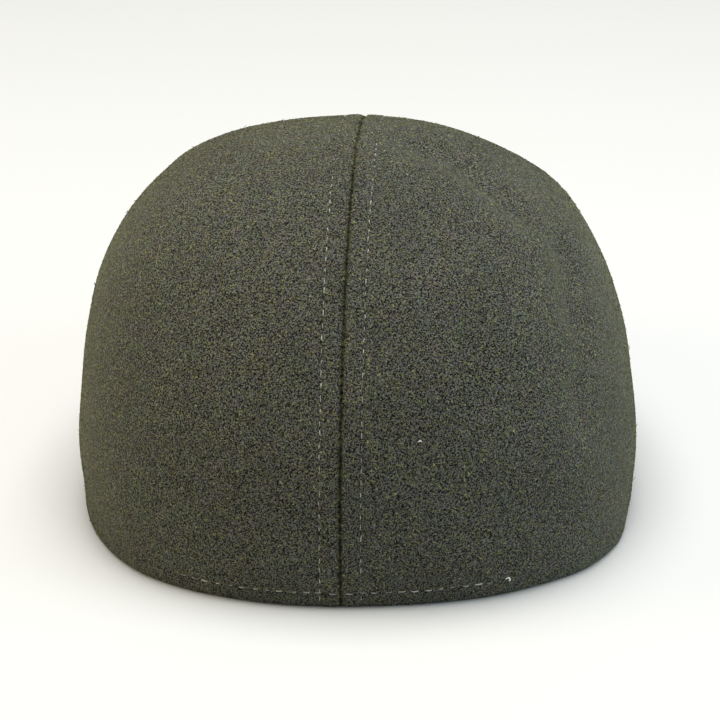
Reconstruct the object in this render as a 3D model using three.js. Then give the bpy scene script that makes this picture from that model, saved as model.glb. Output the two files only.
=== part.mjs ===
// A scally cap of wool melton: a soft crown of two panels that meet on a seam over the middle,
// a stiff peak under its front edge, and a band round the inside of the head opening.
// Millimetres, +Z up. The peak points to -Y, and +X is the wearer's left.
// The cap stands on the plane z = 0, on the hem of its crown and the corners of its peak.
// Angles go round the head opening from the back (0) over the wearer's left (90) to the front (180),
// and are negative on the wearer's right.
import * as THREE from "three";

// Head opening, from its middle to the inner face of the band
const HEAD_SIDE = 88.2;
const HEAD_BACK = 86;
const HEAD_FRONT = 108;

// Band
const BAND_THICK = 1.2;
const BAND_TALL = 30;
const BAND_LEAN = 0.07; // how far it leans in for each millimetre of its height

// Crown
const CLOTH = 2.2;
const HEIGHT = 125.5;
const SIDE_OVERHANG = 2.8; // how far the sides stand out past the hem
const BACK_OVERHANG = 5.5; // how far the back stands out past the hem
const CROWN_OVER_PEAK = 28.3; // how far the front edge reaches over the peak

// Peak
const PEAK_THICK = 3;
const PEAK_SHOWS = 21.7; // what shows of it ahead of the crown's front edge
const PEAK_END = 5; // its width at the two corners
const PEAK_ARCH = 15; // rise of its underside in the middle, above its corners
const PEAK_DROOP = 0.25; // share of that rise which it loses from its rear edge to its tip
const PEAK_CORNER = THREE.MathUtils.degToRad(120);
const PEAK_FLARE = THREE.MathUtils.degToRad(18); // how far its sides point outwards

// The crown's hem leaves the floor and has climbed onto the peak over this stretch before the corner
const CLIMB_START = THREE.MathUtils.degToRad(16);
const CLIMB_END = THREE.MathUtils.degToRad(6);

// Clearance between pieces that touch
const GAP = 0.3;

// Number of facets
const PANEL_COLUMNS = 36;
const PANEL_ROWS = 24;
const PEAK_COLUMNS = 32;
const PEAK_ROWS = 5;
const NOSE_STEPS = 4;
const BAND_COLUMNS = 72;

// Level sections of the crown, from the hem to the top, in shares of the sizes above.
// hem is a share of the hem's own plan, and left, right, back and front are shares of the reach
// that the crown has past it. sideUp, backUp and frontUp are heights, as shares of the way from
// the hem to HEIGHT. full and frontFull are how far the back and front corners of the plan fill
// out past an oval.
const PLAN_COLUMNS = ["hem", "left", "right", "back", "front"];
const SECTION_COLUMNS = [...PLAN_COLUMNS, "sideUp", "backUp", "frontUp", "full", "frontFull"];
const SECTIONS = [
  [1.0, 0.0, 0.0, 0.0, 0.0, 0.0, 0.0, 0.0, 0.1, 0.02],
  [0.45, 0.54, 0.545, 0.555, 0.555, 0.08, 0.08, 0.05, 0.095, 0.04],
  [0.0, 0.99, 0.985, 0.99, 0.99, 0.19, 0.19, 0.12, 0.085, 0.06],
  [0.0, 0.975, 0.965, 0.985, 0.945, 0.33, 0.33, 0.22, 0.08, 0.07],
  [0.0, 0.95, 0.93, 0.945, 0.865, 0.48, 0.48, 0.345, 0.072, 0.07],
  [0.0, 0.895, 0.855, 0.85, 0.74, 0.64, 0.64, 0.5, 0.065, 0.07],
  [0.0, 0.78, 0.735, 0.72, 0.57, 0.79, 0.8, 0.68, 0.057, 0.07],
  [0.0, 0.61, 0.52, 0.49, 0.38, 0.905, 0.91, 0.845, 0.048, 0.06],
  [0.0, 0.355, 0.285, 0.25, 0.225, 0.978, 0.978, 0.96, 0.04, 0.04],
  [0.0, 0.0, 0.0, 0.0, 0.0, 1.0, 1.0, 1.0, 0.0, 0.0],
];

// Soft folds in the crown: each runs from one place to another, given as an angle in degrees and
// a share of the way up the sections. width and depth are shares of the crown's half width, and a
// fold of negative depth stands out.
const FOLD_COLUMNS = ["fromAngle", "fromUp", "toAngle", "toUp", "width", "depth"];
const FOLDS = [
  [-80, 0.92, -86, 0.75, 0.12, 0.022],
  [-35, 0.9, -60, 0.73, 0.1, -0.01],
  [-71, 0.61, -74, 0.585, 0.11, 0.02],
  [-57, 0.51, -52, 0.41, 0.08, 0.014],
  [-36, 0.56, -50, 0.34, 0.13, -0.01],
  [-64, 0.0, -54, 0.06, 0.16, -0.024],
  [14, 0.0, 36, 0.0, 0.3, -0.022],
];

const WOOL_COLOUR = 0x4a4a3b;
const BAND_COLOUR = 0x35342b;

const wall = BAND_THICK + GAP + CLOTH;
const hemSide = HEAD_SIDE + wall;
const hemBack = HEAD_BACK + wall;
const hemFront = HEAD_FRONT + wall;
const crownSide = hemSide + SIDE_OVERHANG;
const crownBack = hemBack + BACK_OVERHANG;
const crownFront = hemFront + CROWN_OVER_PEAK;
const peakRear = BAND_THICK + GAP; // from the band's inner face to the peak's rear edge
const peakLength = CLOTH + CROWN_OVER_PEAK + PEAK_SHOWS;
const peakTip = HEAD_FRONT + peakRear + peakLength;

const { clamp, smoothstep, lerp, degToRad } = THREE.MathUtils;

// A point of an oval plan. Its back corners fill out by full and its front corners by frontFull.
function ovalPoint(angle, { side, back, front, full, frontFull }) {
  const across = Math.sin(angle);
  const along = Math.cos(angle);
  const corners = along > 0 ? full : frontFull;
  const reach = along > 0 ? back : front;
  return {
    x: side * across * (1 + corners * along * along),
    y: reach * along * (1 + corners * across * across),
  };
}

// The head opening's plan, grown outwards on all sides by extra.
function headPoint(angle, extra) {
  return ovalPoint(angle, {
    side: HEAD_SIDE + extra,
    back: HEAD_BACK + extra,
    front: HEAD_FRONT + extra,
    full: section("full", 0),
    frontFull: section("frontFull", 0),
  });
}

const peakCorner = headPoint(PEAK_CORNER, peakRear);

// Height of the peak's underside above the floor.
function peakFloor(x, y) {
  const across = clamp(x / peakCorner.x, -1, 1);
  const ahead = clamp((peakCorner.y - y) / (peakCorner.y + peakTip), 0, 1);
  return PEAK_ARCH * (1 - across * across) * (1 - PEAK_DROOP * ahead);
}

// Height of the crown's lower edge: on the floor behind, and on top of the peak in front.
function hemHeight(angle, x, y) {
  const climb = smoothstep(Math.abs(angle), PEAK_CORNER - CLIMB_START, PEAK_CORNER - CLIMB_END);
  return climb * (peakFloor(x, y) + PEAK_THICK + GAP);
}

// One column of the section table at a share of the way up, on a Catmull-Rom curve through its rows.
// Past the top the plan turns over and the height comes down again, so that the crown is level there.
function section(name, up) {
  const column = SECTION_COLUMNS.indexOf(name);
  const isPlan = PLAN_COLUMNS.includes(name);
  const last = SECTIONS.length - 1;
  const place = clamp(up, 0, 1) * last;
  const row = Math.min(Math.floor(place), last - 1);
  const value = (index) => {
    if (index < 0) return 2 * SECTIONS[0][column] - SECTIONS[1][column];
    if (index > last) return (isPlan ? -1 : 1) * SECTIONS[last - 1][column];
    return SECTIONS[index][column];
  };
  const t = place - row;
  const [a, b, c, d] = [value(row - 1), value(row), value(row + 1), value(row + 2)];
  const cubic = -a + 3 * b - 3 * c + d;
  const square = 2 * a - 5 * b + 4 * c - d;
  return b + 0.5 * t * (c - a + t * (square + t * cubic));
}

// A point of the crown's outer face without its folds.
function formPoint(angle, up) {
  const hem = section("hem", up);
  const along = Math.cos(angle);
  const sideShare = section(Math.sin(angle) > 0 ? "left" : "right", up);
  const overPeak = smoothstep(-along, -Math.cos(PEAK_CORNER), 1);
  const plan = ovalPoint(angle, {
    side: hem * hemSide + sideShare * crownSide,
    back: hem * hemBack + section("back", up) * crownBack,
    front: hem * lerp(hemFront, crownFront, overPeak) + section("front", up) * crownFront,
    full: section("full", up),
    frontFull: section("frontFull", up),
  });
  const edge = hemHeight(angle, plan.x, plan.y);
  const backward = Math.max(along, 0) ** 2;
  const forward = Math.min(along, 0) ** 2;
  const sideUp = section("sideUp", up);
  const share =
    sideUp + (section("backUp", up) - sideUp) * backward + (section("frontUp", up) - sideUp) * forward;
  return new THREE.Vector3(plan.x, plan.y, edge + (HEIGHT - edge) * share);
}

// The folds as lines between two points of the form, with their sizes in millimetres.
const folds = FOLDS.map((row) => {
  const fold = Object.fromEntries(FOLD_COLUMNS.map((name, index) => [name, row[index]]));
  return {
    line: new THREE.Line3(
      formPoint(degToRad(fold.fromAngle), fold.fromUp),
      formPoint(degToRad(fold.toAngle), fold.toUp),
    ),
    width: fold.width * crownSide,
    depth: fold.depth * crownSide,
  };
});

// A point of the crown's outer face. A fold pushes it into the hollow, level at the hem and
// downwards at the top.
function outerPoint(angle, up) {
  const point = formPoint(angle, up);
  const inwards = new THREE.Vector3(0, 0, point.z / 2).sub(point).normalize();
  const nearest = new THREE.Vector3();
  let push = 0;
  for (const fold of folds) {
    const away = fold.line.closestPointToPoint(point, true, nearest).distanceTo(point) / fold.width;
    push += fold.depth * Math.exp(-away * away);
  }
  point.addScaledVector(inwards, push);
  if (up === 0) point.z = hemHeight(angle, point.x, point.y);
  return point;
}

// The direction that the crown's outer face looks in. The hem looks out level.
function outward(angle, up) {
  const step = 1e-3;
  const below = Math.max(up - step, 0);
  const above = Math.min(up + step, 1 - step);
  const round = outerPoint(angle + step, up).sub(outerPoint(angle - step, up));
  const rise = outerPoint(angle, above).sub(outerPoint(angle, below));
  const normal = rise.cross(round);
  if (up === 0) normal.setZ(0);
  return normal.normalize();
}

// A mesh built up from points and four-cornered faces, listed anticlockwise as seen from outside.
class Skin {
  points = [];
  index = [];

  add(point) {
    return this.points.push(point) - 1;
  }

  triangle(a, b, c) {
    this.index.push(a, b, c);
  }

  quad(a, b, c, d) {
    this.triangle(a, b, c);
    this.triangle(a, c, d);
  }

  // Joins two rows of points that run side by side.
  strip(near, far) {
    for (let i = 0; i + 1 < near.length; i++) this.quad(near[i], near[i + 1], far[i + 1], far[i]);
  }

  mesh(name, colour) {
    const geometry = new THREE.BufferGeometry().setFromPoints(this.points);
    geometry.setIndex(this.index);
    geometry.computeVertexNormals();
    const material = new THREE.MeshStandardMaterial({ color: colour, roughness: 1, metalness: 0 });
    const mesh = new THREE.Mesh(geometry, material);
    mesh.name = name;
    return mesh;
  }
}

// One panel of the crown, from the back seam (angle 0) to the front seam (angle 180), on the side
// that sign names. Its wall is CLOTH thick, and it is cut flat along the seam and under the hem.
function crownPanel(name, sign) {
  const skin = new Skin();
  const outer = [];
  const inner = [];
  for (let row = 0; row < PANEL_ROWS; row++) {
    const up = row / PANEL_ROWS;
    outer.push([]);
    inner.push([]);
    for (let column = 0; column <= PANEL_COLUMNS; column++) {
      const angle = (sign * Math.PI * column) / PANEL_COLUMNS;
      const outside = outerPoint(angle, up);
      const inside = outside.clone().addScaledVector(outward(angle, up), -CLOTH);
      if (row === 0) inside.z = hemHeight(angle, inside.x, inside.y);
      const onSeam = column === 0 || column === PANEL_COLUMNS;
      if (onSeam) outside.x = inside.x = 0;
      outer[row].push(skin.add(outside));
      inner[row].push(skin.add(inside));
    }
    if (sign < 0) {
      outer[row].reverse();
      inner[row].reverse();
    }
  }
  const top = skin.add(new THREE.Vector3(0, 0, HEIGHT));
  const ceiling = skin.add(new THREE.Vector3(0, 0, HEIGHT - CLOTH));
  skin.strip(outer[0], inner[0]);
  for (let row = 0; row + 1 < PANEL_ROWS; row++) {
    skin.strip(outer[row + 1], outer[row]);
    skin.strip(inner[row], inner[row + 1]);
  }
  const last = PANEL_ROWS - 1;
  for (let i = 0; i < PANEL_COLUMNS; i++) {
    skin.triangle(outer[last][i], top, outer[last][i + 1]);
    skin.triangle(inner[last][i], inner[last][i + 1], ceiling);
  }
  const edge = (rows, i, end) => [...rows.map((row) => row[i]), end];
  skin.strip(edge(inner, 0, ceiling), edge(outer, 0, top));
  skin.strip(edge(outer, PANEL_COLUMNS, top), edge(inner, PANEL_COLUMNS, ceiling));
  const panel = skin.mesh(name, WOOL_COLOUR);
  panel.position.x = (sign * GAP) / 2;
  return panel;
}

// Joins a list of equal sections, each a closed loop of points, into a tube.
function tube(skin, sections) {
  for (let i = 0; i + 1 < sections.length; i++) {
    const near = sections[i];
    const far = sections[i + 1];
    skin.strip([...near, near[0]], [...far, far[0]]);
  }
}

// The peak: a plate that arches from corner to corner, with a rounded front edge.
function peak() {
  const skin = new Skin();
  const nose = PEAK_THICK / 2;
  const sections = [];
  for (let column = 0; column <= PEAK_COLUMNS; column++) {
    const angle = PEAK_CORNER + (2 * (Math.PI - PEAK_CORNER) * column) / PEAK_COLUMNS;
    const rear = headPoint(angle, peakRear);
    const across = clamp(rear.x / peakCorner.x, -1, 1);
    const reach = PEAK_END + (peakLength - PEAK_END) * Math.sqrt(1 - across * across);
    const outline = [];
    for (let i = 0; i <= PEAK_ROWS; i++) outline.push([((reach - nose) * i) / PEAK_ROWS, 0]);
    for (let i = 1; i < NOSE_STEPS; i++) {
      const turn = (Math.PI * i) / NOSE_STEPS;
      outline.push([reach - nose + nose * Math.sin(turn), nose - nose * Math.cos(turn)]);
    }
    for (let i = PEAK_ROWS; i >= 0; i--) outline.push([((reach - nose) * i) / PEAK_ROWS, PEAK_THICK]);
    const section = outline.map(([ahead, above]) => {
      const x = rear.x + ahead * Math.sin(PEAK_FLARE * across);
      const y = rear.y - ahead * Math.cos(PEAK_FLARE * across);
      return skin.add(new THREE.Vector3(x, y, peakFloor(x, y) + above));
    });
    sections.push(section);
  }
  tube(skin, sections);
  // Each end is closed by strips between its underside and its top.
  for (const end of [sections[0], sections.at(-1).toReversed()]) {
    const half = Math.floor(end.length / 2);
    for (let i = 0; i < half; i++) {
      const [a, b, c, d] = [end[i], end[i + 1], end[end.length - 2 - i], end[end.length - 1 - i]];
      if (b === c) skin.triangle(d, b, a);
      else skin.quad(d, c, b, a);
    }
  }
  return skin.mesh("peak", WOOL_COLOUR);
}

// A point of the band's plan, extra outside the head opening. It follows the folds in the hem.
function bandPoint(angle, extra) {
  const plan = headPoint(angle, extra);
  const hem = outerPoint(angle, 0).sub(formPoint(angle, 0));
  return { x: plan.x + hem.x, y: plan.y + hem.y };
}

// The band stands inside the hem. In front it stands behind the peak and arches up with it.
function sweatband() {
  const skin = new Skin();
  const sections = [];
  for (let column = 0; column < BAND_COLUMNS; column++) {
    const angle = (2 * Math.PI * column) / BAND_COLUMNS - Math.PI;
    const foot = bandPoint(angle, BAND_THICK);
    const floor = Math.abs(angle) > PEAK_CORNER ? peakFloor(foot.x, foot.y) : 0;
    const lean = BAND_LEAN * BAND_TALL;
    const corners = [
      [0, 0],
      [BAND_THICK, 0],
      [BAND_THICK - lean, BAND_TALL],
      [-lean, BAND_TALL],
    ];
    const section = corners.map(([extra, above]) => {
      const plan = bandPoint(angle, extra);
      return skin.add(new THREE.Vector3(plan.x, plan.y, floor + above));
    });
    sections.push(section);
  }
  tube(skin, [...sections, sections[0]]);
  return skin.mesh("sweatband", BAND_COLOUR);
}

const cap = new THREE.Group();
cap.add(crownPanel("crown_left", 1), crownPanel("crown_right", -1), peak(), sweatband());

// The origin is under the middle of the cap's box.
const box = new THREE.Box3().setFromObject(cap);
const middle = box.getCenter(new THREE.Vector3());
cap.position.set(-middle.x, -middle.y, -box.min.z);

const part = new THREE.Group();
part.add(cap);
export default part;
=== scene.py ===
"""The looks of a scally cap of dark olive wool melton, seen from behind.

Each solid of the frame is replaced by a finer piece of the same form: the two panels of the crown
with their seam, its welts and their turned hem, the peak and the band. The nap of the wool, the
stitches, a thread end and a speck of lint are added on them.
Sizes are in millimetres, and every mesh is written in metres at the place that the frame gives.
Angles go round the head opening from the back (0) over the wearer's left (90) to the front (180),
and up is the share of the way from the crown's hem (0) to its top (1).
"""
import math

import bpy
import numpy as np
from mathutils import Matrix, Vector, noise


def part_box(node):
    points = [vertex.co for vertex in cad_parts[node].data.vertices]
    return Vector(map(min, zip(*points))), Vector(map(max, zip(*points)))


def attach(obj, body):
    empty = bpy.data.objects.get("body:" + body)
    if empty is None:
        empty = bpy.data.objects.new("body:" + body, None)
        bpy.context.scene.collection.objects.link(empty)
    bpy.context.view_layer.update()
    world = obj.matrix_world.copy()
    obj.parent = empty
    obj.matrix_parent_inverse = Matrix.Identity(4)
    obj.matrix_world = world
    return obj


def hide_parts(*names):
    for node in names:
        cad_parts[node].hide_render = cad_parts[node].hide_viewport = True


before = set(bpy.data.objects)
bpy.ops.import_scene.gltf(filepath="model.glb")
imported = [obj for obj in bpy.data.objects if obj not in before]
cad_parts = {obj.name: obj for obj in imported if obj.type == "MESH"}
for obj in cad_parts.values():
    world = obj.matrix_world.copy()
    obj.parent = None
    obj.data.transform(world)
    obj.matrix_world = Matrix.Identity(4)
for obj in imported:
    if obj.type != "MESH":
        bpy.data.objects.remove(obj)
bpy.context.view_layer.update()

MM = 0.001

# Sizes of the crown, the peak and the band, as their solids have them
HEAD_SIDE = 88.2
HEAD_BACK = 86
HEAD_FRONT = 108
BAND_THICK = 1.2
BAND_TALL = 30
BAND_LEAN = 0.07
CLOTH = 2.2
HEIGHT = 125.5
SIDE_OVERHANG = 2.8
BACK_OVERHANG = 5.5
CROWN_OVER_PEAK = 28.3
PEAK_THICK = 3
PEAK_SHOWS = 21.7
PEAK_END = 5
PEAK_ARCH = 15
PEAK_DROOP = 0.25
PEAK_CORNER = math.radians(120)
PEAK_FLARE = math.radians(18)
CLIMB_START = math.radians(16)
CLIMB_END = math.radians(6)
GAP = 0.3

# Level sections of the crown from the hem to the top, in shares of its sizes
PLAN_COLUMNS = ["hem", "left", "right", "back", "front"]
SECTION_COLUMNS = [*PLAN_COLUMNS, "side_up", "back_up", "front_up", "full", "front_full"]
SECTIONS = np.array([
    [1.0, 0.0, 0.0, 0.0, 0.0, 0.0, 0.0, 0.0, 0.1, 0.02],
    [0.45, 0.54, 0.545, 0.555, 0.555, 0.08, 0.08, 0.05, 0.095, 0.04],
    [0.0, 0.99, 0.985, 0.99, 0.99, 0.19, 0.19, 0.12, 0.085, 0.06],
    [0.0, 0.975, 0.965, 0.985, 0.945, 0.33, 0.33, 0.22, 0.08, 0.07],
    [0.0, 0.95, 0.93, 0.945, 0.865, 0.48, 0.48, 0.345, 0.072, 0.07],
    [0.0, 0.895, 0.855, 0.855, 0.74, 0.64, 0.64, 0.5, 0.065, 0.07],
    [0.0, 0.78, 0.735, 0.708, 0.57, 0.79, 0.792, 0.685, 0.057, 0.07],
    [0.0, 0.61, 0.52, 0.49, 0.38, 0.905, 0.91, 0.86, 0.048, 0.06],
    [0.0, 0.355, 0.285, 0.25, 0.225, 0.978, 0.978, 0.953, 0.04, 0.04],
    [0.0, 0.0, 0.0, 0.0, 0.0, 1.0, 1.0, 1.0, 0.0, 0.0],
])

# Soft folds. Each row holds the angle in degrees and the share of the way up where a fold starts,
# the same where it ends, and its width and depth as shares of the crown's half width. A fold of
# negative depth stands out.
FOLDS = [
    [-80, 0.92, -86, 0.75, 0.12, 0.011],
    [-73, 0.9, -66, 0.74, 0.085, 0.036],
    [-71, 0.61, -74, 0.585, 0.11, 0.01],
    [-69, 0.645, -60, 0.56, 0.085, 0.031],
    [-40, 0.58, -57, 0.52, 0.13, -0.014],
    [-57, 0.51, -52, 0.41, 0.08, 0.014],
    [-36, 0.56, -50, 0.34, 0.13, -0.01],
    [-64, 0.0, -54, 0.06, 0.16, -0.024],
    [14, 0.0, 36, 0.0, 0.3, -0.022],
    [0, 0.86, 180, 0.86, 0.22, -0.009],
]

# Seam over the middle, with a welt and a row of topstitching on each side of it
SEAM_GAP = 0.05
SEAM_DEPTH = 1.4
SEAM_HALF_WIDTH = 0.7
SEAM_AT_HEM = 0.35  # share of the depth at the hem's edge
SEAM_FULL = 8  # how far above the hem's edge it has its full depth
SEAM_ON_TOP = 0.4  # share of the depth on the top
SEAM_FADES = 0.95  # share of the height where it grows shallower
SEAM_UNEVEN = (2.6, 0.25)  # size and share of the depth's unevenness
SEAM_STRAY = [(15, 0.3), (3.6, 0.12)]  # pairs of a size and how far the seam strays
SEAM_STRAY_WIDTH = 5
ROW_FROM_SEAM = 6.35
WELT_RISE = 0.22
WELT_STARTS = (0.5, 1.9)  # distances from the seam between which the welt rises
WELT_ENDS = (5, 7.4)  # and between which it falls
ROW_DEPTH = 0.32
ROW_HALF_WIDTH = 0.6

# Turned hem, with the row of stitches that holds the band
HEM_ROW = 5.2
HEM_ROW_SKEW = 0.8  # how much higher the row runs on the wearer's right than in the middle
HEM_RISE = 0.18
HEM_FOLD_ENDS = (-1, 1.5)  # distances from the row between which the turned cloth ends
HEM_ROW_END = math.radians(31.6)
HEM_ROW_FADE = 0.05  # radians past its end over which the row's dent fades

# Stitches of the topstitch rows and of the hem's row, with how far they stand out on each side.
# The topstitching sinks into the cloth on the top.
THREAD_SIDES = 7
STITCH_RINGS = 9
TOP_THICK = 0.32
TOP_PITCH = 3.7
TOP_LENGTH = 2.3
TOP_LIFT = {"left": 0.0, "right": 0.06}
TOP_SINK = 0.22
TOP_SINKS = (0.94, 0.985)  # shares of the height between which it sinks
HEM_THICK = 0.46
HEM_PITCH = 4.1
HEM_LENGTH = 2.7
HEM_LIFT = {"left": -0.07, "right": 0.08}
STITCH_RISE = 0.16
STITCH_DIVE = 0.42
STITCH_TAPER = 0.75  # share of its section that a stitch loses towards its ends
STITCH_LENGTHS = (0.6, 1.1)  # shortest and longest, as shares of the row's length of stitch
STITCH_STRAY = 0.2  # spread of the stitches' places along the row
STITCH_SLANT = 0.1  # spread of their ends across it
STITCH_UNEVEN = 0.08  # spread of their heights

# Thread end at the end of the hem's row, and the speck of lint by its angle and share of the way up
CURL_THICK = 0.46
CURL_RADIUS = 0.6
CURL_START = math.radians(0)
CURL_END = math.radians(235)
CURL_RISE = (0.1, 0.75)  # height over the cloth at its start and end
CURL_PAST_ROW = 0.6
CURL_RINGS = 25
LINT_ANGLE = math.radians(-14.7)
LINT_UP = 0.4235
LINT_LENGTH = 1.3
LINT_BEND = 0.4
LINT_RISE = 0.45  # height of its middle over the cloth
LINT_DROOP = 0.25  # how much lower its ends are
LINT_RADIUS = 0.24
LINT_TAPER = 0.7  # share of its section that it loses towards its ends
LINT_RINGS = 9

# Unevenness of the cloth, as pairs of a size and a height
UNEVEN = [(34, 0.22), (13, 0.1), (3.2, 0.05)]

# Nap, with its fibres counted for each square millimetre. A lift is how far a fibre's tip rises,
# as a share of its length, and an arch is how far its middle does.
NAP_DENSITY = 1.5
PEAK_NAP_DENSITY = 0.8
FIBRE_SHORTEST = 0.6
FIBRE_LONGER = 0.8
FIBRE_WIDTH = (0.12, 0.2)
FIBRE_ROOT = 0.1  # how deep its foot lies in the cloth
FIBRE_BEND = 0.22  # spread of its bend to a side, as a share of its length
FIBRE_LIFT = (-0.05, 0.15)
FIBRE_ARCH = 0.06
FIBRE_ARCH_SHARE = 0.05  # of the fibre's length, added to the arch
STRAY_SHARE = 0.008
STRAY_LONGER = 1.5
STRAY_LIFT = (0.15, 0.6)
CROWN_SEED = 11
PEAK_SEED = 12

# Longer fibres that lean over the seam, counted for each millimetre
OVER_SEAM_DENSITY = 3
OVER_SEAM_START = 0.5
OVER_SEAM_LENGTH = (0.8, 2)
OVER_SEAM_LEAN = 1.2  # how strongly they point over the seam
OVER_SEAM_LIFT = (0, 0.3)
OVER_SEAM_ARCH_SHARE = 0.1

# Facets. Columns grow wider over some distances from the seam, and rows over some from the hem.
FINE_STEP = 0.2  # beside the seam
ROW_STEP = 0.45  # at the stitches
PLAIN_STEP = 1.25  # columns on the open cloth
PLAIN_ROW_STEP = 0.84  # rows on the open cloth
COLUMNS_WIDEN = (7, 12)
COLUMNS_UP = 0.33  # share of the way up where columns are spaced
ROWS_WIDEN = (8, 12)
ROWS_ANGLE = math.radians(50)  # where rows are spaced
FIRST_ROW = 0.012  # share of the way up of the lowest row
INNER_EVERY = 8  # rows of the outer face for one row of the inner face
EDGE_TURNS = 8  # round the hem's edge
COLUMN_SAMPLES = 4001  # points of the line on which columns are spaced
ROW_SAMPLES = 2001  # and rows

# Looks of the cloth and of its nap: a base colour and a grain of dark and pale flecks, with the
# flecks' size, where dark and pale begin in their noise, both tones, and the strength of their bump
MELTON = {
    "base": (0.0465, 0.0465, 0.041),
    "fleck_size": 0.45,
    "dark_stop": 0.43,
    "pale_stop": 0.65,
    "darkest": 0.02,
    "palest": 2.8,
    "bump": 1.0,
}
NAP = {
    "base": (0.115, 0.115, 0.055),
    "fleck_size": 0.9,
    "dark_stop": 0.35,
    "pale_stop": 0.65,
    "darkest": 0.3,
    "palest": 1.75,
    "bump": 0.1,
}
HUE_PATCHES = (4.5, 0.16)  # size of patches of other hues, and how strong they are
DRIFT = (26, 0.92, 1.08)  # size of darker and paler areas, and both tones
CLOTH_BUMP = 0.15
THREAD_BUMP = 0.05
SHEEN_TINT = (0.75, 0.78, 0.5, 1)
TAPE_COLOUR = (0.03, 0.03, 0.024)
THREAD_COLOUR = (0.34, 0.34, 0.28)
THREAD_END_COLOUR = (0.75, 0.74, 0.68)
LINT_COLOUR = (0.6, 0.6, 0.57)

# Painted shade in the seam's groove, a darker colour of the cloth where shadow falls in it: full up
# to one distance from it and gone at the other, with gaps, and fading towards the top
PAINTED_GROOVE_SHADE = (0.17, 0.18, 0.22, 1)
PAINTED_SHADE_REACH = (0.15, 0.7)
PAINTED_SHADE_GAPS = (2.4, 0.4)  # size, and the share of the shade that they take
PAINTED_SHADE_GAP_EDGE = (0.5, 0.7)  # values of their noise between which they open
PAINTED_SHADE_FADES = 0.96  # share of the height where it grows fainter
PAINTED_SHADE_LOST = 0.3  # share of the shade that is lost at the top

# Studio, in metres. A light has a name, a place, a size, a power and a colour.
SURROUND = 0.35
SURROUND_COLOUR = (0.98, 0.99, 1, 1)
FLOOR = 0.63
FLOOR_REACH = 8
LIGHTS_AIM = (0, 0, 0.06)
LIGHTS = [
    ("above", (0.0, 0.0, 1.6), 1.2, 34.5, (1, 0.99, 0.95)),
    ("left", (1.4, 0.2, 0.4), 0.8, 9, (1, 0.87, 0.46)),
    ("right", (-1.4, 0.2, 0.4), 0.8, 9.8, (0.71, 0.92, 1)),
]

# View of the photograph
VIEW_AZIMUTH = math.radians(183.5)
VIEW_ELEVATION = math.radians(22.8)
VIEW_DISTANCE = 950
VIEW_TARGET = (-0.4, 0, 45.6)
VIEW_LENS = 141.55

# Sizes that follow from the ones above
WALL = BAND_THICK + GAP + CLOTH
HEM_SIDE = HEAD_SIDE + WALL
HEM_BACK = HEAD_BACK + WALL
HEM_FRONT = HEAD_FRONT + WALL
CROWN_SIDE = HEM_SIDE + SIDE_OVERHANG
CROWN_BACK = HEM_BACK + BACK_OVERHANG
CROWN_FRONT = HEM_FRONT + CROWN_OVER_PEAK
PEAK_REAR = BAND_THICK + GAP
PEAK_LENGTH = CLOTH + CROWN_OVER_PEAK + PEAK_SHOWS
PEAK_TIP = HEAD_FRONT + PEAK_REAR + PEAK_LENGTH

# The frame's place of the head opening's middle
ORIGIN = Vector((
    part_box("crown_left")[0].x - GAP / 2 * MM,
    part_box("peak")[0].y + PEAK_TIP * MM,
    0,
))


def smoothstep(x, low, high):
    """From 0 at the low value to 1 at the high one, without a kink."""
    t = np.clip((x - low) / (high - low), 0, 1)
    return t * t * (3 - 2 * t)


def unit(vectors):
    """Vectors brought to a length of 1."""
    return vectors / np.maximum(np.linalg.norm(vectors, axis=-1, keepdims=True), 1e-12)


def bell(x, middle, half_width):
    """A bell curve that is 1 in the middle."""
    return np.exp(-(((x - middle) / half_width) ** 2))


def section(name, up):
    """One column of the section table at a share of the way up, on a curve through its rows."""
    column = SECTIONS[:, SECTION_COLUMNS.index(name)]
    past_top = (-1 if name in PLAN_COLUMNS else 1) * column[-2]
    values = np.concatenate([[2 * column[0] - column[1]], column, [past_top]])
    last = len(column) - 1
    place = np.clip(up, 0, 1) * last
    row = np.minimum(place.astype(int), last - 1)
    t = place - row
    a, b, c, d = (values[row + i] for i in range(4))
    cubic = -a + 3 * b - 3 * c + d
    square = 2 * a - 5 * b + 4 * c - d
    return b + 0.5 * t * (c - a + t * (square + t * cubic))


def oval(angle, side, back, front, full, front_full):
    """x and y on an oval with its reach each way, fuller than an ellipse behind and in front."""
    across = np.sin(angle)
    along = np.cos(angle)
    corners = np.where(along > 0, full, front_full)
    reach = np.where(along > 0, back, front)
    return side * across * (1 + corners * along**2), reach * along * (1 + corners * across**2)


def head_oval(angle, extra):
    """x and y on the head opening's oval, made larger by extra."""
    hem = dict(zip(SECTION_COLUMNS, SECTIONS[0]))
    sizes = (HEAD_SIDE + extra, HEAD_BACK + extra, HEAD_FRONT + extra)
    return oval(angle, *sizes, hem["full"], hem["front_full"])


PEAK_CORNER_X, PEAK_CORNER_Y = head_oval(PEAK_CORNER, PEAK_REAR)


def peak_floor(x, y):
    """Height of the peak's underside above the floor."""
    across = np.clip(x / PEAK_CORNER_X, -1, 1)
    ahead = np.clip((PEAK_CORNER_Y - y) / (PEAK_CORNER_Y + PEAK_TIP), 0, 1)
    return PEAK_ARCH * (1 - across**2) * (1 - PEAK_DROOP * ahead)


def hem_height(angle, x, y):
    """Height of the crown's lower edge: on the floor behind, and on the peak in front."""
    climb = smoothstep(np.abs(angle), PEAK_CORNER - CLIMB_START, PEAK_CORNER - CLIMB_END)
    return climb * (peak_floor(x, y) + PEAK_THICK + GAP)


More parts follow.
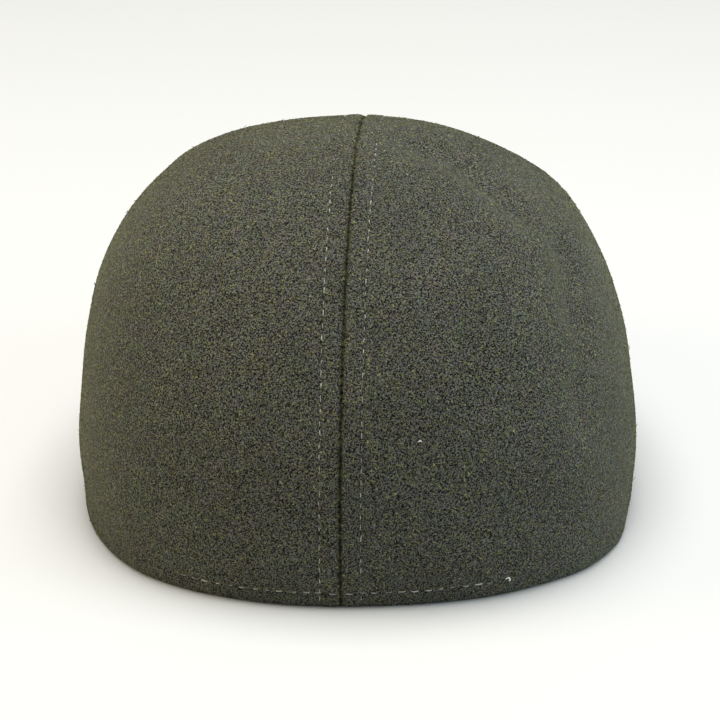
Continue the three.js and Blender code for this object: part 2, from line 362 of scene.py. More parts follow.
def form_point(angle, up):
    """A point of the crown's outer face without its folds."""
    angle, up = np.broadcast_arrays(np.asarray(angle, float), np.asarray(up, float))
    hem = section("hem", up)
    along = np.cos(angle)
    side_share = np.where(np.sin(angle) > 0, section("left", up), section("right", up))
    over_peak = smoothstep(-along, -math.cos(PEAK_CORNER), 1)
    hem_front = HEM_FRONT + (CROWN_FRONT - HEM_FRONT) * over_peak
    x, y = oval(
        angle,
        hem * HEM_SIDE + side_share * CROWN_SIDE,
        hem * HEM_BACK + section("back", up) * CROWN_BACK,
        hem * hem_front + section("front", up) * CROWN_FRONT,
        section("full", up),
        section("front_full", up),
    )
    edge = hem_height(angle, x, y)
    backward = np.maximum(along, 0) ** 2
    forward = np.minimum(along, 0) ** 2
    side_up = section("side_up", up)
    share = side_up + (section("back_up", up) - side_up) * backward
    share = share + (section("front_up", up) - side_up) * forward
    return np.stack([x, y, edge + (HEIGHT - edge) * share], -1)


def outer_point(angle, up):
    """A point of the crown's outer face with its folds."""
    points = form_point(angle, up)
    axis = np.zeros_like(points)
    axis[..., 2] = points[..., 2] / 2
    inwards = unit(axis - points)
    push = np.zeros(points.shape[:-1])
    for from_angle, from_up, to_angle, to_up, width, depth in FOLDS:
        start = form_point(math.radians(from_angle), from_up)
        way = form_point(math.radians(to_angle), to_up) - start
        share = np.clip((points - start) @ way / (way @ way), 0, 1)
        away = np.linalg.norm(points - start - share[..., None] * way, axis=-1)
        push += depth * CROWN_SIDE * bell(away, 0, width * CROWN_SIDE)
    return points + inwards * push[..., None]


def outward(angle, up):
    """The direction that the crown's outer face looks in."""
    step = 1e-3
    below = np.maximum(up - step, 0)
    above = np.minimum(up + step, 1 - step)
    around = outer_point(angle + step, up) - outer_point(angle - step, up)
    rise = outer_point(angle, above) - outer_point(angle, below)
    return unit(np.cross(rise, around))


def lumps(points, size):
    """Smooth noise with bumps of the given size, from about -1 to 1."""
    flat = (points / size).reshape(-1, 3).tolist()
    return np.array([noise.noise(point) for point in flat]).reshape(points.shape[:-1])


def steps_along(points, spacing):
    """Shares of the way along a line of points, about as far apart as spacing says at each."""
    lengths = np.linalg.norm(np.diff(points, axis=0), axis=1)
    middle_spacing = (spacing[1:] + spacing[:-1]) / 2
    count = np.concatenate([[0], np.cumsum(lengths / middle_spacing)])
    wanted = np.linspace(0, count[-1], math.ceil(count[-1]) + 1)
    return np.interp(wanted, count, np.linspace(0, 1, len(points)))


def grid_faces(rows, columns, start=0):
    """Four-cornered faces of a grid of points that is numbered row by row."""
    corner = start + np.arange(rows - 1)[:, None] * columns + np.arange(columns - 1)[None]
    corner = corner.ravel()
    return np.stack([corner, corner + 1, corner + columns + 1, corner + columns], -1)


def loop_faces(rows, columns, start=0):
    """As grid_faces, for rows that close on themselves."""
    row = start + np.arange(rows - 1)[:, None] * columns
    here = np.arange(columns)[None]
    after = (here + 1) % columns
    corners = [row + here, row + after, row + columns + after, row + columns + here]
    return np.stack(corners, -1).reshape(-1, 4)


def join_lines(near, near_at, far, far_at):
    """Triangles between two lines of points of different counts, with each point's place on them."""
    faces = []
    i = j = 0
    while i < len(near) - 1 or j < len(far) - 1:
        near_next = near_at[i + 1] if i < len(near) - 1 else math.inf
        far_next = far_at[j + 1] if j < len(far) - 1 else math.inf
        if near_next <= far_next:
            faces.append((near[i], near[i + 1], far[j]))
            i += 1
        else:
            faces.append((near[i], far[j + 1], far[j]))
            j += 1
    return faces


def add_piece(name, points, faces, material, slot, smooth=True):
    """A mesh from points in millimetres and lists of faces, riding on the cap."""
    mesh = bpy.data.meshes.new(name)
    places = points * MM + np.array(ORIGIN)
    mesh.from_pydata(places.tolist(), [], faces)
    mesh.polygons.foreach_set("use_smooth", np.full(len(mesh.polygons), smooth))
    mesh.materials.append(material)
    piece = bpy.data.objects.new(name, mesh)
    bpy.context.scene.collection.objects.link(piece)
    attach(piece, "root")
    return piece


def seam_depth(points, from_hem):
    """How deep the seam's groove is: shallower at the hem and on the top, and a little uneven."""
    low = SEAM_AT_HEM + (1 - SEAM_AT_HEM) * smoothstep(from_hem, 0, SEAM_FULL)
    high = 1 - (1 - SEAM_ON_TOP) * smoothstep(points[..., 2], SEAM_FADES * HEIGHT, HEIGHT)
    size, share = SEAM_UNEVEN
    return SEAM_DEPTH * low * high * (1 + share * lumps(points * [0, 1, 1], size))


def seam_stray(points):
    """How far sideways the seam strays from the middle, felt less away from it."""
    on_seam = points * [0, 1, 1]
    stray = sum(reach * lumps(on_seam, size) for size, reach in SEAM_STRAY)
    return stray * bell(points[..., 0], 0, SEAM_STRAY_WIDTH)


def relief(angle, points, from_seam, from_hem):
    """How far the cloth stands out at its seam, stitch rows and hem, and by its unevenness."""
    out = -seam_depth(points, from_hem) * bell(from_seam, 0, SEAM_HALF_WIDTH)
    welt = smoothstep(from_seam, *WELT_STARTS) * (1 - smoothstep(from_seam, *WELT_ENDS))
    out += WELT_RISE * welt
    out -= ROW_DEPTH * bell(from_seam, ROW_FROM_SEAM, ROW_HALF_WIDTH)
    row = hem_row_height(angle)
    held = 1 - smoothstep(np.abs(angle), HEM_ROW_END, HEM_ROW_END + HEM_ROW_FADE)
    out += HEM_RISE * (1 - smoothstep(from_hem - row, *HEM_FOLD_ENDS))
    out -= ROW_DEPTH * bell(from_hem, row, ROW_HALF_WIDTH) * held
    for size, height in UNEVEN:
        out += height * lumps(points, size)
    return out


def hem_row_height(angle):
    """How far above the hem's edge the row of stitches runs."""
    return HEM_ROW - HEM_ROW_SKEW * np.sin(angle)


class Panel:
    """One panel of the crown. side is 1 on the wearer's left and -1 on the right.

    points and normals are grids over its outer face, with a row for each of ups and a column for
    each of angles.
    """

    def __init__(self, side):
        self.side = side
        self.angles = side * self.column_angles()
        self.ups = self.row_shares()
        angle, up = np.meshgrid(self.angles, self.ups)
        points = outer_point(angle, up)
        points[:, [0, -1], 0] = 0
        self.normals = outward(angle, up)
        self.normals[:, [0, -1], 0] = 0
        self.normals[0, :, 2] = 0
        self.normals = unit(self.normals)
        rise = np.linalg.norm(np.diff(points, axis=0), axis=-1)
        self.from_hem = np.concatenate([np.zeros((1, len(self.angles))), np.cumsum(rise, 0)])
        self.plain = points
        out = relief(angle, points, np.abs(points[..., 0]), self.from_hem)
        self.points = self.beside_seam(points + self.normals * out[..., None])

    def beside_seam(self, points):
        """Points of the panel moved to its side of the seam. The first and last columns lie on it."""
        points = points.copy()
        points[:, [0, -1], 0] = 0
        points[..., 0] += seam_stray(points) + self.side * SEAM_GAP / 2
        return points

    @staticmethod
    def column_angles():
        """Angles of the columns, close together at both ends of the seam."""
        angle = np.linspace(0, math.pi, COLUMN_SAMPLES)
        widest = form_point(angle, COLUMNS_UP)
        from_seam = np.abs(widest[:, 0])
        near = FINE_STEP + (ROW_STEP - FINE_STEP) * np.minimum(from_seam / ROW_FROM_SEAM, 1)
        spacing = near + (PLAIN_STEP - near) * smoothstep(from_seam, *COLUMNS_WIDEN)
        return math.pi * steps_along(widest, spacing)

    @staticmethod
    def row_shares():
        """Shares of the way up of the rows, close together at the hem. The top is left out."""
        up = np.linspace(FIRST_ROW, 1, ROW_SAMPLES)
        line = form_point(ROWS_ANGLE, up)
        spacing = ROW_STEP + (PLAIN_ROW_STEP - ROW_STEP) * smoothstep(line[:, 2], *ROWS_WIDEN)
        return (FIRST_ROW + (1 - FIRST_ROW) * steps_along(line, spacing))[:-1]

    def mesh_parts(self):
        """Points and faces of the whole closed panel: outer face, turned edge and inner face."""
        columns = len(self.angles)
        rows = len(self.ups)
        kept = np.unique(np.append(np.arange(0, rows, INNER_EVERY), rows - 1))
        inner = self.beside_seam(self.plain[kept] - self.normals[kept] * CLOTH)
        x, y = self.points[0, :, 0], self.points[0, :, 1]
        drop = self.points[0, :, 2] - hem_height(np.abs(self.angles), x, y)
        middle = (self.points[0] + inner[0]) / 2
        half = (self.points[0] - inner[0]) / 2
        turns = np.linspace(0, math.pi, EDGE_TURNS + 1)[1:-1]
        down = np.array([0, 0, -1])
        edge = [middle + half * math.cos(t) + drop[:, None] * math.sin(t) * down for t in turns]
        crest = outer_point(0, 1)
        depths = np.array([SEAM_DEPTH * SEAM_ON_TOP, CLOTH])
        apex = crest - depths[:, None, None] * [0, 0, 1]
        top, ceiling = self.beside_seam(apex)[:, 0]
        grid = np.stack([*inner[::-1], *edge[::-1], *self.points])
        points = np.concatenate([grid.reshape(-1, 3), [top, ceiling]])
        top_index = len(points) - 2
        ceiling_index = len(points) - 1
        faces = grid_faces(len(grid), columns).tolist()
        last = (len(grid) - 1) * columns
        faces += [(last + i, last + i + 1, top_index) for i in range(columns - 1)]
        faces += [(i + 1, i, ceiling_index) for i in range(columns - 1)]
        for column in (0, columns - 1):
            inside, inside_at, rim, outside, outside_at = self.edge_lines(column, kept, columns)
            side_faces = join_lines(
                [*outside, top_index], [*outside_at, 1], [*inside, ceiling_index], [*inside_at, 1]
            )
            side_faces += [(rim[0], rim[i], rim[i + 1]) for i in range(1, len(rim) - 1)]
            faces += side_faces if column == 0 else [face[::-1] for face in side_faces]
        if self.side < 0:
            return points, faces
        return points, [tuple(face)[::-1] for face in faces]

    def edge_lines(self, column, kept, columns):
        """Point numbers up one seam edge: the inner line, round the hem, and the outer line."""
        inner_rows = len(kept)
        edge_rows = EDGE_TURNS - 1
        inside = [(inner_rows - 1 - i) * columns + column for i in range(inner_rows)]
        rim = [(inner_rows - 1 + i) * columns + column for i in range(edge_rows + 2)]
        first = inner_rows + edge_rows
        outside = [(first + i) * columns + column for i in range(len(self.ups))]
        return inside, self.ups[kept], rim, outside, self.ups

    def line_beside_seam(self, distance):
        """Points and normals on the outer face at a distance from the seam, from back to front."""
        x = self.points[..., 0] * self.side - SEAM_GAP / 2 - distance
        found = []
        for axis in (0, 1):
            count = self.points.shape[axis] - 1
            near = np.take(x, range(count), axis)
            far = np.take(x, range(1, count + 1), axis)
            crossing = near * far < 0
            share = (near[crossing] / (near - far)[crossing])[:, None]
            pairs = []
            for values in (self.points, self.normals):
                first = np.take(values, range(count), axis)[crossing]
                second = np.take(values, range(1, count + 1), axis)[crossing]
                pairs.append(first * (1 - share) + second * share)
            found.append(np.concatenate(pairs, axis=1))
        found = np.concatenate(found)
        order = np.argsort(np.arctan2(found[:, 2], found[:, 1]))
        return found[order, :3], unit(found[order, 3:])

    def line_above_hem(self):
        """Points and normals on the outer face where the hem's row of stitches runs."""
        row = hem_row_height(self.angles)
        points = []
        normals = []
        for column, angle in enumerate(self.angles):
            if abs(angle) > HEM_ROW_END:
                break
            up = self.from_hem[:, column]
            place = [np.interp(row[column], up, self.points[:, column, k]) for k in range(3)]
            facing = [np.interp(row[column], up, self.normals[:, column, k]) for k in range(3)]
            points.append(place)
            normals.append(facing)
        return np.array(points), unit(np.array(normals))


def between(at, values, wanted):
    """Values of a line's points, given at some lengths along it, at other lengths."""
    return np.stack([np.interp(wanted, at, values[:, k]) for k in range(3)], -1)


def lengths_along(line):
    """Length from a line's start to each of its points."""
    steps = np.linalg.norm(np.diff(line, axis=0), axis=1)
    return np.concatenate([[0], np.cumsum(steps)])


def round_thread(path, up, radius):
    """Points and faces of a closed round thread along a path, with its radius at each point."""
    along = unit(np.gradient(path, axis=0))
    across = unit(np.cross(up, along))
    over = np.cross(along, across)
    turn = np.linspace(0, 2 * math.pi, THREAD_SIDES, endpoint=False)[None, :, None]
    ring = np.cos(turn) * across[:, None] + np.sin(turn) * over[:, None]
    return tube_mesh(path[:, None] + radius[:, None, None] * ring)


def stitch(path, normals, thick, lift):
    """Points and faces of a stitch: a thread that comes out of the cloth and dives back in."""
    share = np.linspace(-1, 1, len(path))
    arch = STITCH_RISE - (STITCH_RISE + STITCH_DIVE) * share**4 + lift
    radius = thick / 2 * np.sqrt(1 - STITCH_TAPER * share**6)
    return round_thread(path + normals * arch[:, None], normals, radius)


def stitch_row(line, normals, thick, pitch, length, lift, rng):
    """Stitches along a line on the cloth, uneven in their place, length, slant and height."""
    at = lengths_along(line)
    pieces = []
    for begin in np.arange(pitch / 2, at[-1] - length, pitch):
        here = begin + rng.normal(0, STITCH_STRAY)
        wanted = np.linspace(here, here + length * rng.uniform(*STITCH_LENGTHS), STITCH_RINGS)
        path = between(at, line, wanted)
        facing = unit(between(at, normals, wanted))
        across = unit(np.cross(facing, path[-1] - path[0]))
        slant = np.linspace(*rng.normal(0, STITCH_SLANT, 2), STITCH_RINGS)
        sunk = TOP_SINK * smoothstep(path[0, 2] / HEIGHT, *TOP_SINKS)
        height = rng.normal(lift, STITCH_UNEVEN) - sunk
        pieces.append(stitch(path + across * slant[:, None], facing, thick, height))
    return pieces


def curl(place, facing, side_way):
    """Points and faces of a thread end that curls back on itself beside its last stitch."""
    up_way = np.cross(side_way, facing)
    turn = np.linspace(CURL_START, CURL_END, CURL_RINGS)[:, None]
    path = CURL_RADIUS * (np.cos(turn) * side_way + np.sin(turn) * up_way)
    rise = np.linspace(*CURL_RISE, CURL_RINGS)[:, None]
    radius = np.full(CURL_RINGS, CURL_THICK / 2)
    return round_thread(place + path + facing * rise, np.tile(facing, (CURL_RINGS, 1)), radius)


def joined(pieces):
    """Several lists of points and faces as one."""
    points = []
    faces = []
    count = 0
    for piece_points, piece_faces in pieces:
        points.append(piece_points)
        faces += [tuple(index + count for index in face) for face in piece_faces]
        count += len(piece_points)
    return np.concatenate(points), faces


def scattered(points, normals, density, rng):
    """Random places on a grid of cloth, with the way that the cloth faces there."""
    a, b, c, d = points[:-1, :-1], points[:-1, 1:], points[1:, 1:], points[1:, :-1]
    area = np.linalg.norm(np.cross(c - a, d - b), axis=-1).ravel() / 2
    count = int(density * area.sum())
    cell = rng.choice(len(area), size=count, p=area / area.sum())
    row, column = np.divmod(cell, points.shape[1] - 1)
    s = rng.random((count, 1))
    t = rng.random((count, 1))

    def inside(values):
        low = values[row, column] * (1 - s) + values[row, column + 1] * s
        high = values[row + 1, column] * (1 - s) + values[row + 1, column + 1] * s
        return low * (1 - t) + high * t

    return inside(points), unit(inside(normals))


def spindles(root, facing, way, length, lift, arch, rng):
    """Points and faces of thin bent fibres, each a closed spindle. None reaches under the floor."""
    way = unit(way - facing * (way * facing).sum(-1, keepdims=True))
    across = np.cross(facing, way)
    half = rng.uniform(*FIBRE_WIDTH, length.shape) / 2
    bend = rng.normal(0, FIBRE_BEND, length.shape) * length
    tip = root + way * length + facing * length * lift
    middle = (root + tip) / 2 + facing * arch + across * bend
    foot = root - facing * FIBRE_ROOT
    corners = np.stack([foot, tip, middle + across * half, middle - across * half], 1)
    corners = corners[corners[..., 2].min(1) > 0]
    order = np.array([[0, 3, 2], [1, 2, 3], [0, 2, 1], [0, 1, 3]])
    faces = (np.arange(len(corners))[:, None, None] * 4 + order).reshape(-1, 3)
    return corners.reshape(-1, 3), faces.tolist()


def nap_fibres(points, normals, density, rng):
    """Points and faces of the short fibres that lie every way on a grid of cloth."""
    root, facing = scattered(points, normals, density, rng)
    shape = (len(root), 1)
    stray = rng.random(shape) < STRAY_SHARE
    length = FIBRE_SHORTEST + FIBRE_LONGER * rng.random(shape) ** 2
    length = np.where(stray, length * STRAY_LONGER, length)
    lift = np.where(stray, rng.uniform(*STRAY_LIFT, shape), rng.uniform(*FIBRE_LIFT, shape))
    way = rng.normal(size=(len(root), 3))
    arch = FIBRE_ARCH + FIBRE_ARCH_SHARE * length
    return spindles(root, facing, way, length, lift, arch, rng)


def fibres_over_seam(panel, rng):
    """Points and faces of longer fibres that lean over the groove of the seam."""
    line, normals = panel.line_beside_seam(OVER_SEAM_START)
    at = lengths_along(line)
    wanted = rng.uniform(0, at[-1], int(OVER_SEAM_DENSITY * at[-1]))
    root = between(at, line, wanted)
    facing = unit(between(at, normals, wanted))
    shape = (len(root), 1)
    length = rng.uniform(*OVER_SEAM_LENGTH, shape)
    way = rng.normal(size=(len(root), 3)) + [-OVER_SEAM_LEAN * panel.side, 0, 0]
    lift = rng.uniform(*OVER_SEAM_LIFT, shape)
    return spindles(root, facing, way, length, lift, OVER_SEAM_ARCH_SHARE * length, rng)


def grid_normals(points):
    """The way that each point of a grid of cloth faces."""
    along = np.gradient(points, axis=0)
    around = np.gradient(points, axis=1)
    return unit(np.cross(along, around))


def peak_grid():
    """The peak as closed sections from corner to corner, with a rounded front edge."""
    columns = 180
    rows = 26
    nose_turns = 12
    nose = PEAK_THICK / 2
    angle = PEAK_CORNER + 2 * (math.pi - PEAK_CORNER) * np.linspace(0, 1, columns + 1)
    rear_x, rear_y = head_oval(angle, PEAK_REAR)
    across = np.clip(rear_x / PEAK_CORNER_X, -1, 1)
    reach = PEAK_END + (PEAK_LENGTH - PEAK_END) * np.sqrt(np.maximum(1 - across**2, 0))
    shares = np.linspace(0, 1, rows + 1)
    turn = np.linspace(0, math.pi, nose_turns + 1)[1:-1]
    ahead = np.concatenate([
        (reach[:, None] - nose) * shares,
        reach[:, None] - nose + nose * np.sin(turn),
        (reach[:, None] - nose) * shares[::-1],
    ], axis=1)
    above = np.concatenate([
        np.zeros(rows + 1),
        nose - nose * np.cos(turn),
        np.full(rows + 1, PEAK_THICK),
    ])
    x = rear_x[:, None] + ahead * np.sin(PEAK_FLARE * across)[:, None]
    y = rear_y[:, None] - ahead * np.cos(PEAK_FLARE * across)[:, None]
    return np.stack([x, y, peak_floor(x, y) + above], -1)


def tube_mesh(grid):
    """Points and faces of a row of closed sections, with both ends closed by a fan."""
    sections, corners = grid.shape[:2]
    ends = [grid[0].mean(0), grid[-1].mean(0)]
    points = np.concatenate([grid.reshape(-1, 3), ends])
    faces = loop_faces(sections, corners).tolist()
    first, last = len(points) - 2, len(points) - 1
    base = (sections - 1) * corners
    faces += [(first, (i + 1) % corners, i) for i in range(corners)]
    faces += [(last, base + i, base + (i + 1) % corners) for i in range(corners)]
    return points, faces


def band_plan(angle, extra):
    """The band's plan, extra outside the head opening, following the folds in the hem."""
    x, y = head_oval(angle, extra)
    hem = outer_point(angle, 0 * angle) - form_point(angle, 0 * angle)
    return x + hem[..., 0], y + hem[..., 1]


def band_grid():
    """The band as sections round the head opening, with rounded upper and lower edges."""
    columns = 360
    turns = 6
    rows = 12
    angle = np.linspace(-math.pi, math.pi, columns, endpoint=False)
    half = BAND_THICK / 2
    turn = np.linspace(0, math.pi, turns + 1)
    rise = np.linspace(half, BAND_TALL - half, rows + 1)
    outward_extra = np.concatenate([
        half - half * np.cos(turn),
        np.full(rows - 1, BAND_THICK),
        half + half * np.cos(turn),
        np.full(rows - 1, 0),
    ])
    above = np.concatenate([
        half - half * np.sin(turn),
        rise[1:-1],
        BAND_TALL - half + half * np.sin(turn),
        rise[1:-1][::-1],
    ])
    foot_x, foot_y = band_plan(angle, BAND_THICK)
    floor = np.where(np.abs(angle) > PEAK_CORNER, peak_floor(foot_x, foot_y), 0)
    layers = []
    for extra, height in zip(outward_extra, above):
        x, y = band_plan(angle, extra - BAND_LEAN * height)
        layers.append(np.stack([x, y, floor + height], -1))
    return np.stack(layers)


def closed_loop_faces(rows, columns):
    """Faces of a grid that closes on itself both ways."""
    row = np.arange(rows)[:, None]
    column = np.arange(columns)[None]
    after_row = (row + 1) % rows
    after_column = (column + 1) % columns
    corners = [
        row * columns + column,
        after_row * columns + column,
        after_row * columns + after_column,
        row * columns + after_column,
    ]
    return np.stack([np.broadcast_to(c, (rows, columns)) for c in corners], -1).reshape(-1, 4)


def add_node(tree, kind, settings=None, **inputs):
    """A shader node with its settings and inputs. An input is a value or another node's output."""
    node = tree.nodes.new(kind)
    for name, value in (settings or {}).items():
        setattr(node, name, value)
    for name, value in inputs.items():
        socket = node.inputs[name.replace("_", " ")]
        if isinstance(value, bpy.types.NodeSocket):
            tree.links.new(value, socket)
        else:
            socket.default_value = value
    return node


def mix_colours(tree, blend_type, factor, first, second):
    """Two colours mixed by a factor. Each is a value or another node's output."""
    node = tree.nodes.new("ShaderNodeMix")
    node.data_type = "RGBA"
    node.blend_type = blend_type
    for index, value in ((0, factor), (6, first), (7, second)):
        if isinstance(value, bpy.types.NodeSocket):
            tree.links.new(value, node.inputs[index])
        else:
            node.inputs[index].default_value = value
    return node.outputs[2]


def multiplied(tree, first, *others):
    """Colours multiplied with each other."""
    for other in others:
        first = mix_colours(tree, "MULTIPLY", 1, first, other)
    return first


def colour_ramp(tree, factor, stops):
    """A colour ramp of position and colour pairs."""
    node = add_node(tree, "ShaderNodeValToRGB", Fac=factor)
    elements = node.color_ramp.elements
    elements[0].position, elements[0].color = stops[0]
    elements[-1].position, elements[-1].color = stops[-1]
    for position, colour in stops[1:-1]:
        element = elements.new(position)
        element.color = colour
    return node.outputs["Color"]


def grey(value):
    """A grey as the nodes take it."""
    return (value, value, value, 1)


def noise_texture(tree, place, size, detail=2.0, roughness=0.5, distortion=0.0):
    """Noise with features of the given size in millimetres."""
    return add_node(
        tree, "ShaderNodeTexNoise", Vector=place, Scale=1 / (size * MM),
        Detail=detail, Roughness=roughness, Distortion=distortion,
    )


def add_bump(tree, shader, height, strength, distance):
    """Lets a value stand out as bumps of up to a distance in millimetres."""
    bump = add_node(
        tree, "ShaderNodeBump", Strength=strength, Distance=distance * MM, Height=height,
    )
    tree.links.new(bump.outputs["Normal"], shader.inputs["Normal"])


def new_material(name):
    """A material with its node tree, its shader and the place on the object as coordinates."""
    material = bpy.data.materials.new(name)
    material.use_nodes = True
    tree = material.node_tree
    shader = tree.nodes["Principled BSDF"]
    place = tree.nodes.new("ShaderNodeTexCoord").outputs["Object"]
    return material, tree, shader, place


def map_range(tree, value, low, high, to_low, to_high):
    """A value between low and high, brought between two others."""
    node = add_node(
        tree, "ShaderNodeMapRange", Value=value,
        From_Min=low, From_Max=high, To_Min=to_low, To_Max=to_high,
    )
    return node.outputs[0]


def math_node(tree, operation, *values):
    """The result of a sum. Each value is a number or another node's output."""
    node = add_node(tree, "ShaderNodeMath", {"operation": operation})
    for socket, value in zip(node.inputs, values):
        if isinstance(value, bpy.types.NodeSocket):
            tree.links.new(value, socket)
        else:
            socket.default_value = value
    return node.outputs[0]


def painted_seam_shade(tree, place):
    """Painted shade in the groove over the cap's middle, as a darker colour of the cloth: in patches,
    and less on the top.
    """
    split = add_node(tree, "ShaderNodeSeparateXYZ", Vector=place)
    aside = math_node(tree, "SUBTRACT", split.outputs["X"], ORIGIN.x)
    away = math_node(tree, "ABSOLUTE", aside)
    full, gone = PAINTED_SHADE_REACH
    share = map_range(tree, away, full * MM, gone * MM, 0, 1)
    top = HEIGHT * MM
    fading = map_range(tree, split.outputs["Z"], PAINTED_SHADE_FADES * top, top, 0, PAINTED_SHADE_LOST)
    gap_size, gap_share = PAINTED_SHADE_GAPS
    patches = noise_texture(tree, place, gap_size, detail=1)
    gaps = map_range(tree, patches.outputs["Fac"], *PAINTED_SHADE_GAP_EDGE, 0, gap_share)
    share = math_node(tree, "MAXIMUM", share, math_node(tree, "MAXIMUM", fading, gaps))
    return colour_ramp(tree, share, [(0.0, PAINTED_GROOVE_SHADE), (1.0, grey(1))])


def melton_material(name, look, shade_painted_in_seam):
    """Felted wool: a grain of pale and dark flecks, with faint patches of other hues and tones.
    On the crown it also gets painted shade, a darker colour in the groove of the crown's seam."""
    material, tree, shader, place = new_material(name)
    flecks = noise_texture(tree, place, look["fleck_size"], detail=1, distortion=0.5)
    tone = colour_ramp(tree, flecks.outputs["Fac"], [
        (look["dark_stop"], grey(look["darkest"])), (look["pale_stop"], grey(1)),
    ])
    tone = multiplied(tree, tone, grey(look["palest"]))
    size, strength = HUE_PATCHES
    patches = noise_texture(tree, place, size, detail=2, roughness=0.55)
    hue = mix_colours(tree, "OVERLAY", strength, (*look["base"], 1), patches.outputs["Color"])
    size, darker, paler = DRIFT
    drift = noise_texture(tree, place, size, detail=2)
    shade = colour_ramp(tree, drift.outputs["Fac"], [(0.3, grey(darker)), (0.7, grey(paler))])
    colour = multiplied(tree, hue, tone, shade)
    # Painted shade of the seam's groove, multiplied into the cloth's colour
    if shade_painted_in_seam:
        colour = multiplied(tree, colour, painted_seam_shade(tree, place))
    tree.links.new(colour, shader.inputs["Base Color"])
    add_bump(tree, shader, flecks.outputs["Fac"], look["bump"], CLOTH_BUMP)
    shader.inputs["Roughness"].default_value = 0.95
    shader.inputs["Specular IOR Level"].default_value = 0.15
    shader.inputs["Sheen Weight"].default_value = 0.12
    shader.inputs["Sheen Roughness"].default_value = 0.45
    shader.inputs["Sheen Tint"].default_value = SHEEN_TINT
    return material


def tape_material():
    """Twill tape of the band: fine slanting ribs and a speckle."""
    material, tree, shader, place = new_material("twill_tape")
    ribs = add_node(
        tree, "ShaderNodeTexWave", {"bands_direction": "DIAGONAL"}, Vector=place,
        Scale=1 / (1.6 * MM), Distortion=0.6, Detail=1.0,
    )
    flecks = noise_texture(tree, place, 0.5, detail=2)
    tone = colour_ramp(tree, ribs.outputs["Fac"], [(0.0, grey(0.75)), (1.0, grey(1.15))])
    speckle = colour_ramp(tree, flecks.outputs["Fac"], [(0.3, grey(0.8)), (0.7, grey(1.2))])
    colour = multiplied(tree, (*TAPE_COLOUR, 1), tone, speckle)
    tree.links.new(colour, shader.inputs["Base Color"])
    add_bump(tree, shader, ribs.outputs["Fac"], 0.5, CLOTH_BUMP)
    shader.inputs["Roughness"].default_value = 0.85
    return material


def thread_material(name, colour):
    """Spun thread: a slanting twist, a fine speckle, and darker and paler stretches."""
    material, tree, shader, place = new_material(name)
    twist = add_node(
        tree, "ShaderNodeTexWave", {"bands_direction": "DIAGONAL"}, Vector=place,
        Scale=1 / (0.9 * MM), Distortion=1.0,
    )
    flecks = noise_texture(tree, place, 0.35, detail=2)
    uneven = noise_texture(tree, place, 3.0, detail=1)
    tone = colour_ramp(tree, twist.outputs["Fac"], [(0.0, grey(0.8)), (1.0, grey(1.1))])
    speckle = colour_ramp(tree, flecks.outputs["Fac"], [(0.3, grey(0.75)), (0.7, grey(1.2))])
    fade = colour_ramp(tree, uneven.outputs["Fac"], [(0.35, grey(0.4)), (0.65, grey(1.4))])
    mixed = multiplied(tree, (*colour, 1), tone, speckle, fade)
    tree.links.new(mixed, shader.inputs["Base Color"])
    add_bump(tree, shader, twist.outputs["Fac"], 0.4, THREAD_BUMP)
    shader.inputs["Roughness"].default_value = 0.8
    return material


def add_camera():
    """The camera behind the cap and a little above it, as in the photograph."""
    data = bpy.data.cameras.new("camera")
    data.sensor_width = 36
    data.lens = VIEW_LENS
    camera = bpy.data.objects.new("camera", data)
    bpy.context.scene.collection.objects.link(camera)
    back = Vector((
        math.sin(VIEW_AZIMUTH) * math.cos(VIEW_ELEVATION),
        -math.cos(VIEW_AZIMUTH) * math.cos(VIEW_ELEVATION),
        math.sin(VIEW_ELEVATION),
    ))
    camera.location = ORIGIN + (Vector(VIEW_TARGET) + back * VIEW_DISTANCE) * MM
    camera.rotation_euler = back.to_track_quat("Z", "Y").to_euler()
    bpy.context.scene.camera = camera


def add_light(name, place, size, power, colour):
    """A soft square light that looks at the middle of the cap."""
    data = bpy.data.lights.new(name, "AREA")
    data.shape = "SQUARE"
    data.size = size
    data.energy = power
    data.color = colour
    light = bpy.data.objects.new(name, data)
    light.location = place
    way = Vector(place) - Vector(LIGHTS_AIM)
    light.rotation_euler = way.to_track_quat("Z", "Y").to_euler()
    bpy.context.scene.collection.objects.link(light)


def add_studio():
    """A pale floor, a pale surround and soft lights from above and from both sides."""
    bpy.context.scene.view_settings.view_transform = "Standard"
    world = bpy.data.worlds.new("surround")
    world.use_nodes = True
    background = world.node_tree.nodes["Background"]
    background.inputs["Color"].default_value = SURROUND_COLOUR
    background.inputs["Strength"].default_value = SURROUND
    bpy.context.scene.world = world
    material = bpy.data.materials.new("pale_floor")
    material.use_nodes = True
    shader = material.node_tree.nodes["Principled BSDF"]
    shader.inputs["Base Color"].default_value = grey(FLOOR)
    shader.inputs["Roughness"].default_value = 0.7
    shader.inputs["Specular IOR Level"].default_value = 0.2
    mesh = bpy.data.meshes.new("floor")
    ways = [(-1, -1), (1, -1), (1, 1), (-1, 1)]
    corners = [(x * FLOOR_REACH, y * FLOOR_REACH, 0) for x, y in ways]
    mesh.from_pydata(corners, [], [(0, 1, 2, 3)])
    mesh.materials.append(material)
    floor = bpy.data.objects.new("floor", mesh)
    bpy.context.scene.collection.objects.link(floor)
    for light in LIGHTS:
        add_light(*light)


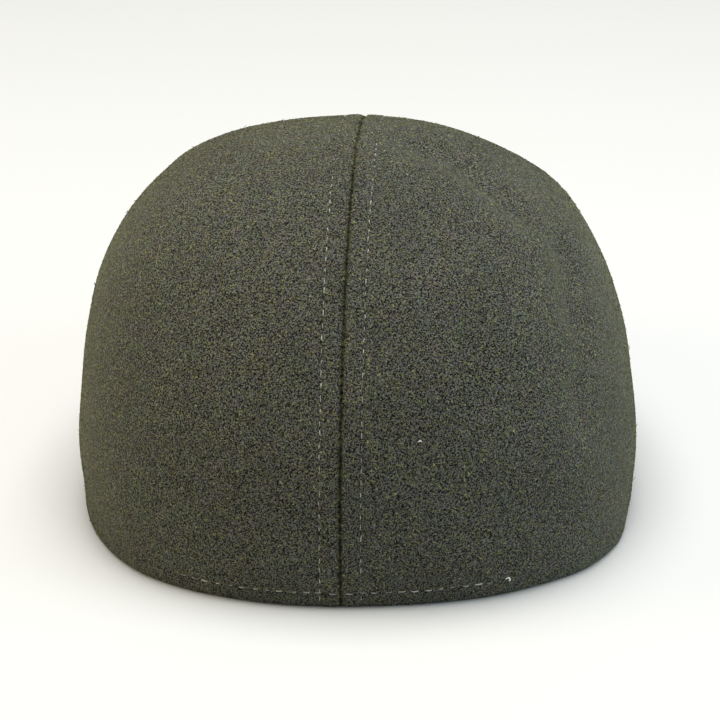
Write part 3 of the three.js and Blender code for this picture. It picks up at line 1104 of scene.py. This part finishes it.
def add_crown(melton, nap, thread):
    """Both panels of the crown with their nap and stitches. Returns the place where the hem's row
    ends on the wearer's right, and the way that the cloth faces there."""
    rng = np.random.default_rng(CROWN_SEED)
    seam_stitches = []
    hem_stitches = []
    over_seam = []
    for name, side in (("left", 1), ("right", -1)):
        panel = Panel(side)
        points, faces = panel.mesh_parts()
        piece = add_piece(f"crown_{name}_cloth", points, faces, melton, "wool_melton")
        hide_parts(f"crown_{name}")
        half = np.searchsorted(np.abs(panel.angles), math.pi / 2)
        for part, columns in (("back", slice(0, half + 1)), ("front", slice(half, None))):
            grid = panel.points[:, columns], panel.normals[:, columns]
            fibres = nap_fibres(*grid, NAP_DENSITY, rng)
            add_piece(f"nap_{name}_{part}", *fibres, nap, "wool_melton", smooth=False)
        over_seam.append(fibres_over_seam(panel, rng))
        line, normals = panel.line_beside_seam(ROW_FROM_SEAM)
        sizes = (TOP_THICK, TOP_PITCH, TOP_LENGTH, TOP_LIFT[name])
        seam_stitches += stitch_row(line, normals, *sizes, rng)
        line, normals = panel.line_above_hem()
        sizes = (HEM_THICK, HEM_PITCH, HEM_LENGTH, HEM_LIFT[name])
        hem_stitches += stitch_row(line, normals, *sizes, rng)
    add_piece("nap_over_seam", *joined(over_seam), nap, "wool_melton", smooth=False)
    add_piece("seam_stitches", *joined(seam_stitches), thread, "thread")
    add_piece("hem_stitches", *joined(hem_stitches), thread, "thread")
    return line[-1], normals[-1]


def add_peak(melton, nap):
    """The peak, covered in the same cloth."""
    grid = peak_grid()
    piece = add_piece("peak_cloth_cover", *tube_mesh(grid), melton, "peak_cloth")
    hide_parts("peak")
    rng = np.random.default_rng(PEAK_SEED)
    fibres = nap_fibres(grid, grid_normals(grid), PEAK_NAP_DENSITY, rng)
    add_piece("nap_peak", *fibres, nap, "peak_cloth", smooth=False)


def add_band():
    """The band inside the head opening."""
    grid = band_grid()
    points = grid.reshape(-1, 3)
    faces = closed_loop_faces(*grid.shape[:2]).tolist()
    piece = add_piece("sweatband_tape", points, faces, tape_material(), "band_cloth")
    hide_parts("sweatband")


def add_thread_end(row_end, facing):
    """The loose end of the hem's thread, curled up just past the last stitch."""
    side_way = unit(np.cross(facing, [0, 0, 1]))
    pale = thread_material("pale_thread", THREAD_END_COLOUR)
    place = row_end - side_way * CURL_PAST_ROW
    add_piece("thread_end", *curl(place, facing, side_way), pale, "thread")


def add_lint():
    """A speck of pale lint that clings to the back of the crown."""
    angle, up = np.array([LINT_ANGLE]), np.array([LINT_UP])
    place, facing = outer_point(angle, up)[0], outward(angle, up)[0]
    side_way = unit(np.cross(facing, [0, 0, 1]))
    up_way = np.cross(side_way, facing)
    share = np.linspace(-1, 1, LINT_RINGS)[:, None]
    path = place + side_way * share * LINT_LENGTH / 2 - up_way * share**2 * LINT_BEND
    path += facing * (LINT_RISE - LINT_DROOP * share**2)
    radius = LINT_RADIUS * np.sqrt(1 - LINT_TAPER * share[:, 0] ** 2)
    pale = thread_material("pale_lint", LINT_COLOUR)
    speck = round_thread(path, np.tile(facing, (LINT_RINGS, 1)), radius)
    add_piece("lint", *speck, pale, "thread")


add_camera()
add_studio()
# The crown's cloth and nap get painted shade in the seam's groove; the peak's do not
row_end, facing = add_crown(
    melton_material("crown_melton", MELTON, shade_painted_in_seam=True),
    melton_material("crown_nap", NAP, shade_painted_in_seam=True),
    thread_material("sewing_thread", THREAD_COLOUR),
)
add_peak(
    melton_material("peak_melton", MELTON, shade_painted_in_seam=False),
    melton_material("peak_nap", NAP, shade_painted_in_seam=False),
)
add_band()
add_thread_end(row_end, facing)
add_lint()
